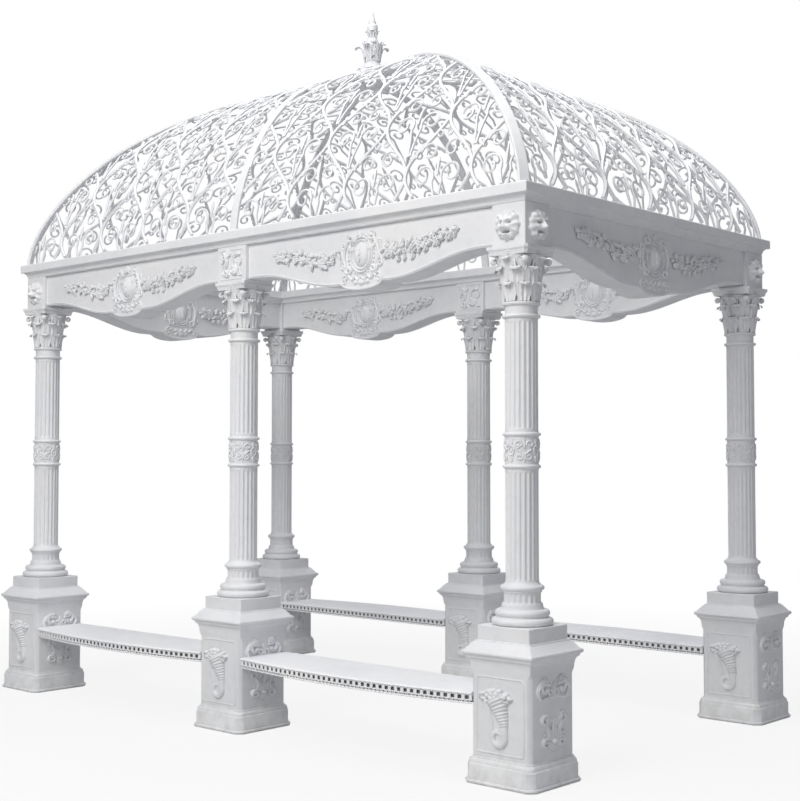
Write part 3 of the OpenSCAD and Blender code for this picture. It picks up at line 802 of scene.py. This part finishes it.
Z_BLOCK_MID = (Z_BLOCK + Z_CORNICE) / 2
for spot, i, s in POSTS:
    low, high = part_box(f"block_{spot}")
    if i == 0:
        half_x = (high[0] - low[0]) / 2
        relief, sides = scroll_panel(2 * half_x - PANEL_MARGIN, PANEL_HIGH), ((0, -s), (0, s))
    else:
        half_x = BLOCK_HALF
        relief, sides = MASK, ((0, s), (i, 0))
    parts = moved([square_prism(half_x, BLOCK_HALF, Z_BLOCK, Z_CORNICE)], (i * BAY, s * ROW, 0))
    for out in sides:
        foot = (i * BAY + out[0] * BLOCK_HALF, s * ROW + out[1] * BLOCK_HALF, Z_BLOCK_MID)
        parts += on_face(relief, foot, out)
    build(f"block_{spot}_cast", parts, f"block_{spot}")

# %% [markdown]
# ## Dress of the friezes
# The frieze panels themselves stay as the frame has them. On both faces of
# each one goes a medallion with its scalloped pendant, a garland of leaves
# and flowers on either side, and a thin raised edge that follows the curve.

# %% Medallion
def medallion():
    """Oval boss in a bead ring and a scrolled frame, with a bow above and a shell below."""
    t = np.linspace(0, math.tau, 37)[:-1]
    parts = [blobs([(0, 0, 0.000)], (0.054, 0.068, 0.024), 9, 20)]
    parts += [flat_bar(np.stack([0.066 * np.cos(t), 0.080 * np.sin(t)], -1), 0.0055, loop=True, flat=1.6)]
    parts += moved([flat_leaf(0.042, 0.036, 3, 0.012)], (0, -0.010, 0.020))
    parts += moved([flat_leaf(0.036, 0.030, 3, 0.012)], (0, -0.006, 0.020), turn=math.pi)
    parts += [flat_bar(np.stack([0.083 * np.cos(t), 0.097 * np.sin(t)], -1), 0.0065, loop=True, flat=1.7)]
    beads = np.linspace(0, math.tau, 31)[:-1]
    places = np.stack([0.098 * np.cos(beads), 0.111 * np.sin(beads), 0 * beads], -1)
    parts += [blobs(places, (0.0075, 0.0075, 0.010), 5, 6)]
    side = np.concatenate([curl((0.068, 0.096), 0.3, 0.006, 0.024, 1.1, 16),
                           smooth([(0.092, 0.076), (0.112, 0.034), (0.118, -0.010), (0.108, -0.052)], 6),
                           curl((0.084, -0.078), 0.8, 0.026, 0.006, -1.25, 18)])
    parts += both(side * (1.12, 1.0), 0.0115, 1.3)
    outer = np.concatenate([curl((0.128, 0.052), 2.2, 0.005, 0.019, -1.2, 14),
                            smooth([(0.140, 0.026), (0.134, -0.006), (0.146, -0.040)], 6),
                            curl((0.132, -0.058), 1.2, 0.018, 0.005, -1.0, 14)])
    parts += both(outer * (1.06, 1.0), 0.0090, 1.2)
    for turn in (-1.35, -0.8, 0.8, 1.35):
        root = (-0.045 * math.sin(turn), 0.090 * math.cos(turn) + 0.010, 0)
        parts += moved([flat_leaf(0.070, 0.034, 3, 0.012)], root, turn=turn)
    parts += moved([flat_leaf(0.048, 0.050, 3, 0.016)], (0, 0.092, 0))
    return parts


def shell(half=0.150, drop=0.038):
    """Pendant: a wavy cord of five lobes under the medallion, a volute at each side, and
    a bead along the half ellipse of the lobe's edge; y is measured from the frieze edge."""
    a = np.linspace(math.pi, math.tau, 29)
    rim = np.stack([half * np.cos(a), 0.006 + drop * np.sin(a)], -1)
    wave = np.linspace(-1, 1, 41)
    sway = 0.040 - 0.022 * np.abs(np.sin(wave * math.pi * 2.5)) + 0.014 * wave ** 2
    cord = np.stack([0.118 * wave, sway], -1)
    volute = np.concatenate([smooth([(0.100, 0.046), (0.128, 0.050), (0.146, 0.036)], 4)[:-1],
                             curl((0.132, 0.020), 0.85, 0.021, 0.006, -1.2, 14)])
    parts = [flat_bar(rim, 0.0065, flat=0.9), flat_bar(cord, 0.0090, flat=1.2)]
    parts += both(volute, 0.0080, 1.1)
    parts.append(blobs([(0, 0.004, 0), (-0.045, 0.006, 0), (0.045, 0.006, 0)],
                       [(0.030, 0.018, 0.012), (0.020, 0.014, 0.010), (0.020, 0.014, 0.010)], 7, 12))
    return parts


# %% Garland
def garland(seed):
    """Leaves, flowers and berries scattered about a line that thickens in its middle."""
    random = np.random.default_rng(seed)
    spine = smooth([(0.165, 0.026), (0.240, 0.000), (0.300, -0.012), (0.400, 0.000),
                    (0.510, 0.022), (0.610, 0.036), (0.690, 0.048), (0.745, 0.050)], 10)
    share = np.linspace(0, 1, len(spine))
    thick = 0.007 + 0.024 * np.sin(math.pi * share ** 0.85) ** 0.8
    parts = [flat_bar(spine, thick * 0.55, sides=8, flat=0.55)]
    for k in range(82):
        j = random.integers(1, len(spine) - 1)
        side = random.uniform(-1, 1)
        x, y = spine[j] + (random.normal(0, 0.004), side * thick[j])
        turn = random.uniform(-0.7, 0.7) + (math.pi if side < 0 else 0) - 0.9
        size = 0.024 + 0.019 * random.random() * (0.4 + thick[j] / 0.036)
        leaf = flat_leaf(size, size * 0.85, 2, 0.014, 4, 4)
        parts += moved([leaf], (x, y, 0.004 + 0.008 * random.random()), turn=turn)
    for j in random.integers(4, len(spine) - 4, 11):
        x, y = spine[j] + (0, random.normal(0, 0.35) * thick[j])
        parts += moved([flower(0.015 + 0.010 * random.random(), 5)], (x, y, 0.014))
    berries = random.integers(2, len(spine) - 2, 20)
    spots = spine[berries] + random.normal(0, 0.6, (20, 2)) * thick[berries, None]
    parts.append(blobs(np.column_stack([spots, np.full(20, 0.012)]), (0.0075, 0.0075, 0.009), 4, 6))
    return parts


# %% Raised edge
def low_edge(half, dip, width=0.304, drop=0.038):
    """Height of the frieze's lower edge: a half cosine towards the middle, less a half
    ellipse for the pendant."""
    x = np.linspace(-half + 0.004, half - 0.004, 81)
    share = np.clip((np.abs(x) / half - 0.22) / 0.68, 0, 1)
    lobe = np.sqrt(np.clip(1 - (x / (width / 2)) ** 2, 0, 1))
    return np.stack([x, -dip * (1 + np.cos(math.pi * share)) / 2 - drop * lobe], -1)


# %% Assemble the frieze dress
def dress(half, dip, mid, out):
    """Dress one face of one frieze; mid is the middle of its foot line."""
    z_medal = Z_MEDALLION - mid[2]
    parts = moved(medallion(), (0, z_medal, 0))
    parts += moved(shell(), (0, -dip, 0))
    stretch = (half - 0.06) / 0.94
    for sign in (1, -1):
        flip = (sign * stretch, 1, 1)
        parts += moved(garland(GARLAND_SEED + sign), (0, z_medal, 0), flip)
    edge = low_edge(half, dip) + (0, 0.010)
    parts += [flat_bar(edge, 0.006, flat=0.8)]
    return on_face(parts, mid, out)


FRIEZE_HALF_T = 0.080
Z_EDGE_LINE = Z_BLOCK + 0.012
Z_MEDALLION = 2.708
DIP_SIDE, DIP_END, GARLAND_SEED = 0.105, 0.122, 11
for node in [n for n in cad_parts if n.startswith("frieze")]:
    low, high = (np.array(c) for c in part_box(node))
    mid, size = (low + high) / 2, high - low
    lengthwise = size[0] > size[1]
    half = float(max(size[:2])) / 2
    dip = DIP_SIDE if lengthwise else DIP_END
    parts = []
    for side in (-1, 1):
        out = (0, side) if lengthwise else (side, 0)
        foot = (mid[0] + out[0] * FRIEZE_HALF_T, mid[1] + out[1] * FRIEZE_HALF_T, Z_EDGE_LINE)
        parts += dress(half, dip, foot, out)
    build(f"{node}_dress", parts)

# %% [markdown]
# ## Ribs of the dome
# The dome's upright curve is one formula for the whole roof: at an angle a
# above the foot, the share of the foot's half size left is cos(a) to the power
# 0.87, and the height is the rise times sin(a) to the power 1.24. Ribs and
# scrollwork both use it, so they meet along their whole length.

# %% Dome curve
RISE = Z_CROWN - Z_ROOF
FOOT_X, FOOT_Y, CROWN = BAY + 0.100, ROW + 0.100, 0.110
ANGLE = np.radians(np.concatenate([np.linspace(0, 3, 10)[:-1], np.linspace(3, 87, 170),
                                   np.linspace(87, 90, 30)[1:]]))


def meridian(reach):
    """Distance from the axis and height, up one upright curve of the dome, with the
    length walked so far."""
    out = reach * np.cos(ANGLE).clip(0) ** 0.87
    up = Z_ROOF + RISE * np.sin(ANGLE) ** 1.24
    walked = np.concatenate([[0], np.cumsum(np.hypot(np.diff(out), np.diff(up)))])
    return out, up, walked


def rib(reach, turn, width=0.060, thick=0.022):
    """A flat strap with cut edges: at each point of the curve, a ring of ten points laid
    across it and inward from it."""
    out, up, walked = meridian(reach)
    at = np.linspace(0, walked[-1], 76)
    x, z = np.interp(at, walked, out), np.interp(at, walked, up)
    keep = x > CROWN - 0.02
    x, z = x[keep], z[keep]
    dx, dz = np.gradient(x), np.gradient(z)
    length = np.hypot(dx, dz)
    inward = np.stack([-dz / length, dx / length], -1)
    inward[0] = (-1, 0)
    c = 0.005
    ring = [(-width / 2 + c, 0), (-width / 4, 0), (width / 4, 0), (width / 2 - c, 0), (width / 2, c),
            (width / 2, thick - c), (width / 2 - c, thick), (-width / 2 + c, thick),
            (-width / 2, thick - c), (-width / 2, c)]
    across, deep = np.array(ring).T
    reach_out = x[:, None] + inward[:, :1] * deep[None]
    height = z[:, None] + inward[:, 1:] * deep[None]
    along = np.array([math.cos(turn), math.sin(turn)])
    side = np.array([-along[1], along[0]])
    points = np.stack([reach_out * along[0] + across[None] * side[0],
                       reach_out * along[1] + across[None] * side[1], height], -1)
    return closed_tube(points)


# %% Assemble the ribs
for spot, i, s in POSTS:
    reach = math.hypot(i * FOOT_X, FOOT_Y)
    turn = math.atan2(s * FOOT_Y, i * FOOT_X)
    build(f"rib_{spot}_strap", [rib(reach, turn)], f"rib_{spot}")

# %% [markdown]
# ## Scrollwork of the dome
# Upright wavy bars stand half a repeat apart, and every second one is the
# mirror of its neighbour. They touch in turn, so they enclose tall pointed
# cells, half-dropped like scales. In each cell a stem carries a pair of large
# spirals, with two smaller pairs above. The net is drawn flat, u along the
# cornice and v up the curve, clipped to the gore, and then laid on the dome.

# %% Net of one gore
REPEAT, CELL, WIDEST = 0.457, 0.700, 0.150
MAIN_R, CURL_R = 0.0112, 0.0074


def lay(path, depth):
    """Lay a flat (u, v) path on the gore whose foot is at distance depth: v is walked up
    the curve; points come back as (u, -distance, height) with the outward normal."""
    out, up, walked = meridian(depth)
    inset = 0.011
    o = np.interp(path[:, 1], walked, out)
    z = np.interp(path[:, 1], walked, up)
    d_o = np.interp(path[:, 1] + 0.004, walked, out) - np.interp(path[:, 1] - 0.004, walked, out)
    d_z = np.interp(path[:, 1] + 0.004, walked, up) - np.interp(path[:, 1] - 0.004, walked, up)
    length = np.hypot(d_o, d_z)
    normal = np.stack([0 * o, -d_z / length, -d_o / length], -1)
    place = np.stack([path[:, 0], -o, z], -1) - normal * inset
    return place, normal


def runs(keep):
    """First and last place of each unbroken run of kept points."""
    edges = np.flatnonzero(np.diff(np.concatenate([[0], keep.astype(int), [0]])))
    return [(a, b) for a, b in zip(edges[::2], edges[1::2]) if b - a >= 4]


def cell_scrolls():
    """Flat paths inside one cell, about its middle, with the radius of each."""
    big = np.concatenate([smooth([(0.006, -0.235), (0.016, -0.150), (0.034, -0.064)], 5)[:-1],
                          curl((0.098, -0.026), math.radians(-150), 0.074, 0.020, -1.22, 26)])
    middle = np.concatenate([smooth([(0.172, 0.095), (0.150, 0.150)], 4)[:-1],
                             curl((0.078, 0.118), math.radians(12), 0.062, 0.016, 1.20, 20)])
    small = np.concatenate([smooth([(0.076, 0.205), (0.068, 0.232)], 3)[:-1],
                            curl((0.036, 0.222), math.radians(8), 0.030, 0.010, 1.05, 12)])
    paths = []
    for path, size in ((big, 1.0), (middle, 0.95), (small, 0.8)):
        radius = CURL_R * size * (1 + 0.7 * (np.linspace(0, 1, len(path)) > 0.93))
        paths += [(path, radius), (mirrored(path), radius)]
    stem = np.stack([np.zeros(6), np.linspace(-0.030, 0.075, 6)], -1)
    paths.append((stem, CURL_R * np.array([0.8, 1.3, 1.0, 1.5, 1.0, 0.5])))
    return paths


def net_paths(half, height):
    """All flat paths of a net: wavy bars k * P/2 - P/4 +- P/4 * cos(turns of v), and the
    cells' scrolls at every touching height, half-dropped."""
    paths, scrolls = [], cell_scrolls()
    v = np.arange(0, height, CELL / 28)
    count = int(half / REPEAT) + 2
    for k in range(-2 * count, 2 * count + 1):
        u = (k - 0.5) * REPEAT / 2 + (-1) ** k * REPEAT / 4 * np.cos(math.tau * (v - WIDEST) / CELL)
        paths.append((np.stack([u, v], -1), np.full(len(v), MAIN_R)))
    for m in range(int(height / CELL * 2) + 2):
        for k in range(-count, count + 1):
            middle = ((k + 0.5 * ((m + 1) % 2)) * REPEAT, WIDEST + m * CELL / 2)
            paths += [(path + middle, radius) for path, radius in scrolls]
    return paths


def net(depth, half, low_u):
    """The net clipped to its gore: a point stays where |u| is under half its share, clear
    of the ribs, and above low_u; every run left becomes a bar."""
    out, up, walked = meridian(depth)
    height = np.interp(-CROWN, -out, walked)
    parts = []
    for path, radius in net_paths(half, height):
        share = np.interp(path[:, 1], walked, out) / depth
        keep = ((np.abs(path[:, 0]) < half * share - 0.004) & (path[:, 1] > 0.004)
                & (path[:, 1] < height) & (path[:, 0] > low_u))
        for a, b in runs(keep):
            place, normal = lay(path[a:b], depth)
            parts.append(bar(place, radius[a:b], up=normal, sides=5))
    return parts


# %% Assemble the scrollwork
RIB_CLEAR = 0.028
SIDE_NET = net(FOOT_Y, FOOT_X, RIB_CLEAR)
END_NET = net(FOOT_X, FOOT_Y, -FOOT_Y)
for spot, i, s in BAYS:
    node = f"lattice_{spot}"
    build(f"{node}_scrolls", moved(SIDE_NET, scale=(i, -s, 1)), node, crease=60)
for place, i in (("left", -1), ("right", 1)):
    node = f"lattice_{place}_end"
    build(f"{node}_scrolls", moved(END_NET, turn=i * math.pi / 2), node, crease=60)

# %% [markdown]
# ## Finial
# A tall bell, a bulb wrapped in leaves with drooping tips, a collar and a
# spike. The turned core is lathe work and the leaves are the capital's leaf.

# %% Finial
def finial():
    """Lathe work with four rings of curled leaves."""
    top = float(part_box("finial")[1][2])
    z0 = Z_CROWN
    rows = [(0, -0.028), (0.110, -0.028), (0.110, 0.006), (0.106, 0.014), (0.100, 0.018), (0.100, 0.030),
            (0.092, 0.060), (0.076, 0.092), (0.060, 0.114), (0.048, 0.128), (0.048, 0.136), (0.054, 0.142),
            (0.048, 0.148), (0.042, 0.158), (0.050, 0.182), (0.056, 0.210), (0.054, 0.240), (0.044, 0.270),
            (0.030, 0.296), (0.022, 0.316), (0.022, 0.328), (0.032, 0.336), (0.036, 0.348), (0.036, 0.378),
            (0.032, 0.390), (0.024, 0.396), (0.026, 0.404), (0.018, 0.424), (0.012, 0.444), (0.007, 0.466)]
    rows = [(r, z0 + z) for r, z in rows] + [(0.003, top - 0.003), (0, top)]
    parts = [turned(rows, 28)]
    parts += ring_of([standing_leaf(0.056, 0.104, 0.066)], 0.046, z0 + 0.140, 5, 0.25)
    parts += ring_of([standing_leaf(0.044, 0.100, 0.022)], 0.048, z0 + 0.170, 5, 0.25 + math.pi / 5)
    parts += ring_of([standing_leaf(0.034, 0.046, 0.020)], 0.022, z0 + 0.300, 5, 0.6)
    parts += ring_of([standing_leaf(0.070, 0.074, 0.018)], 0.080, z0 + 0.012, 6, 0.5)
    return parts


build("finial_cast", finial(), "finial")

# %% [markdown]
# ## Benches
# Each bench is a thin seat with a bowed outer edge over a pierced skirt: a row
# of upright slots, a rail, a zigzag, and a rail at the foot. Holes that show
# are made of the bars between them, not painted on. The dark seen through them
# is painted shade: a dark grey strip just inside each skirt.

# %% Bench
DEPTH, BOW, SLOT = 0.364, 0.080, 0.041
SKIRT_IN, SHADE_STRIP_IN = 0.012, 0.024


def bowed(x, half):
    """Line of the bowed edge: half the depth, and a parabola that adds BOW in the middle."""
    return -DEPTH / 2 - BOW * (1 - (x / half) ** 2)


def bench(half, top):
    """The seat plate and its skirt about the middle of the bay, the bowed edge towards -Y."""
    x = np.linspace(-half, half, 65)
    bow = bowed(x, half)
    back = np.full_like(x, DEPTH / 2)
    parts = []
    rim = [(0.014, top - 0.014), (0.003, top - 0.013), (0.0, top - 0.009),
           (0.003, top - 0.004), (0.010, top - 0.001), (0.018, top)]
    front_rows = [np.stack([x, bow + inset, np.full_like(x, z)], -1) for inset, z in rim]
    back_rows = [np.stack([x, back - inset, np.full_like(x, z)], -1) for inset, z in rim[::-1]]
    parts.append(closed_tube(np.stack(front_rows + back_rows, 1)))

    def skirt(line_y):
        """Rails along the edge and all the little bars between them."""
        made = []
        z = [top - 0.016, top - 0.042, top - 0.058]
        for height, radius, flat in ((z[0], 0.0042, 1.0), (z[1], 0.0030, 1.2), (z[2], 0.0034, 1.0)):
            made.append(bar(np.stack([x, line_y(x), np.full_like(x, height)], -1), radius, flat=flat))
        count = int(2 * half / SLOT)
        slots = np.linspace(-half + 0.010, half - 0.010, count + 1)
        for at in slots:
            post = [(at, line_y(at), height) for height in (z[0], (z[0] + z[1]) / 2, z[1])]
            made.append(bar(post, (0.0135, 0.0105, 0.0135), up=(0, 1, 0), flat=0.4))
        teeth = np.linspace(-half + 0.010, half - 0.010, 3 * count + 1)
        height = np.where(np.arange(len(teeth)) % 2 == 0, z[1], z[2])
        made.append(bar(np.stack([teeth, line_y(teeth), height], -1), 0.0027, up=(0, 1, 0), sides=5))
        return made

    parts += skirt(lambda at: bowed(at, half) + SKIRT_IN)
    parts += skirt(lambda at: DEPTH / 2 - SKIRT_IN + 0 * at)
    return parts


def painted_shade_strips(half, top):
    """Painted shade behind the pierced skirt: a thin dark grey strip just inside each edge, where the shade
    under the seat shows through the holes.
    """
    x = np.linspace(-half + 0.002, half - 0.002, 65)
    high, low = top - 0.016, top - 0.054
    strips = []
    for line, step in ((bowed(x, half) + SHADE_STRIP_IN, 0.003), (np.full_like(x, DEPTH / 2 - SHADE_STRIP_IN), -0.003)):
        section = ((0, high), (step, high), (step, low), (0, low))
        ring = np.stack([np.stack([x, line + dy, np.full_like(x, z)], -1) for dy, z in section], 1)
        strips.append(closed_tube(ring))
    return strips


# %% Assemble the benches
for spot, i, s in BAYS:
    node = f"seat_{spot}"
    low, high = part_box(node)
    half, top = float(high[0] - low[0]) / 2, float(high[2])
    middle, flip = (i * BAY / 2, s * ROW, 0), (1, -s, 1)
    # The seats take the brighter bench paint, which is painted light for the seat tops that the roof shades.
    build(f"{node}_cast", moved(bench(half, top), middle, flip), node, material=BRIGHTENED_BENCH_PAINT)
    # Behind each skirt goes a dark grey strip of painted shade.
    build(f"{node}_recess", moved(painted_shade_strips(half, top), middle, flip), material=PAINTED_SHADE_GREY)

print("triangles added:", sum(TALLY))


# %% [markdown]
# ## Floor, light and camera
# The pavilion stands on a pale floor in soft light: a broad lamp from the
# front left, a weaker one from the right, and an even pale sky.

# %% Stage
def floor_material(name, colour):
    """A pale floor that takes the shadow. For camera rays white is mixed in: 0.86 of it
    under the pavilion, and all of it from 6.5 m out, so that the floor meets the backdrop."""
    paint = Paint(name)
    paint.shader.inputs["Base Color"].default_value = (*colour, 1)
    paint.shader.inputs["Roughness"].default_value = 0.9
    place = paint.node("ShaderNodeTexCoord", out=3)
    reach = paint.node("ShaderNodeVectorMath", {"operation": "LENGTH"}, place, out=1)
    seen = paint.node("ShaderNodeLightPath", out=0)
    white = paint.node("ShaderNodeEmission", None, (1, 1, 1, 1), 1.0)
    share = seen * (reach.step(2.4, 6.5) * 0.14 + 0.86)
    mix = paint.tree.nodes.new("ShaderNodeMixShader")
    paint.put(share, mix.inputs[0])
    paint.tree.links.new(paint.shader.outputs[0], mix.inputs[1])
    paint.put(white, mix.inputs[2])
    paint.tree.links.new(mix.outputs[0], paint.tree.nodes["Material Output"].inputs["Surface"])
    return paint.material


FLOOR_HALF = 60.0
floor_mesh = bpy.data.meshes.new("floor")
corners = [(x * FLOOR_HALF, y * FLOOR_HALF, FLOOR) for x, y in ((-1, -1), (1, -1), (1, 1), (-1, 1))]
floor_mesh.from_pydata(corners, [], [(0, 1, 2, 3)])
floor = bpy.data.objects.new("floor", floor_mesh)
bpy.context.scene.collection.objects.link(floor)
floor_mesh.materials.append(floor_material("floor_white", (0.60, 0.60, 0.60)))

world = bpy.data.worlds.new("sky")
bpy.context.scene.world = world
world.use_nodes = True
sky = world.node_tree
background = sky.nodes["Background"]
background.inputs["Color"].default_value = (0.90, 0.925, 1.0, 1)
background.inputs["Strength"].default_value = 0.20
backdrop = sky.nodes.new("ShaderNodeBackground")
backdrop.inputs["Color"].default_value = (1, 1, 1, 1)
path = sky.nodes.new("ShaderNodeLightPath")
swap = sky.nodes.new("ShaderNodeMixShader")
sky.links.new(path.outputs["Is Camera Ray"], swap.inputs[0])
sky.links.new(background.outputs[0], swap.inputs[1])
sky.links.new(backdrop.outputs[0], swap.inputs[2])
sky.links.new(swap.outputs[0], sky.nodes["World Output"].inputs["Surface"])


def lamp(name, place, target, size, power, colour):
    """A square area lamp at a place, turned to a target."""
    data = bpy.data.lights.new(name, "AREA")
    data.shape, data.size, data.energy, data.color = "SQUARE", size, power, colour
    light = bpy.data.objects.new(name, data)
    bpy.context.scene.collection.objects.link(light)
    light.location = place
    aim = np.array(target, float) - np.array(place, float)
    yaw, pitch = math.atan2(-aim[0], aim[1]), math.atan2(aim[2], math.hypot(aim[0], aim[1]))
    light.rotation_euler = (math.pi / 2 + pitch, 0, yaw)


lamp("key", (1.8, -8.5, 7.5), (0.6, 0, 1.8), 4.5, 660, (1.0, 0.985, 0.965))
lamp("fill", (13.0, 0.0, 6.0), (0, 0, 1.8), 7.0, 110, (0.94, 0.955, 1.0))
lamp("top", (0.5, -1.0, 10.0), (0.5, -0.99, 0), 7.0, 430, (0.975, 0.985, 1.0))
lamp("back", (-5.0, 10.0, 6.0), (0, 0, 1.8), 6.0, 190, (0.95, 0.955, 1.0))

# %% Camera
EYE = (6.2117, -6.5777, 1.5892)
TURN, TILT, LENS = 42.188, 2.441, 61.27
camera_data = bpy.data.cameras.new("camera")
camera_data.sensor_width, camera_data.lens = 36.0, LENS
camera = bpy.data.objects.new("camera", camera_data)
bpy.context.scene.collection.objects.link(camera)
camera.location = EYE
camera.rotation_euler = (math.radians(90 + TILT), 0, math.radians(TURN))
bpy.context.scene.camera = camera
bpy.context.scene.view_settings.view_transform = "Standard"
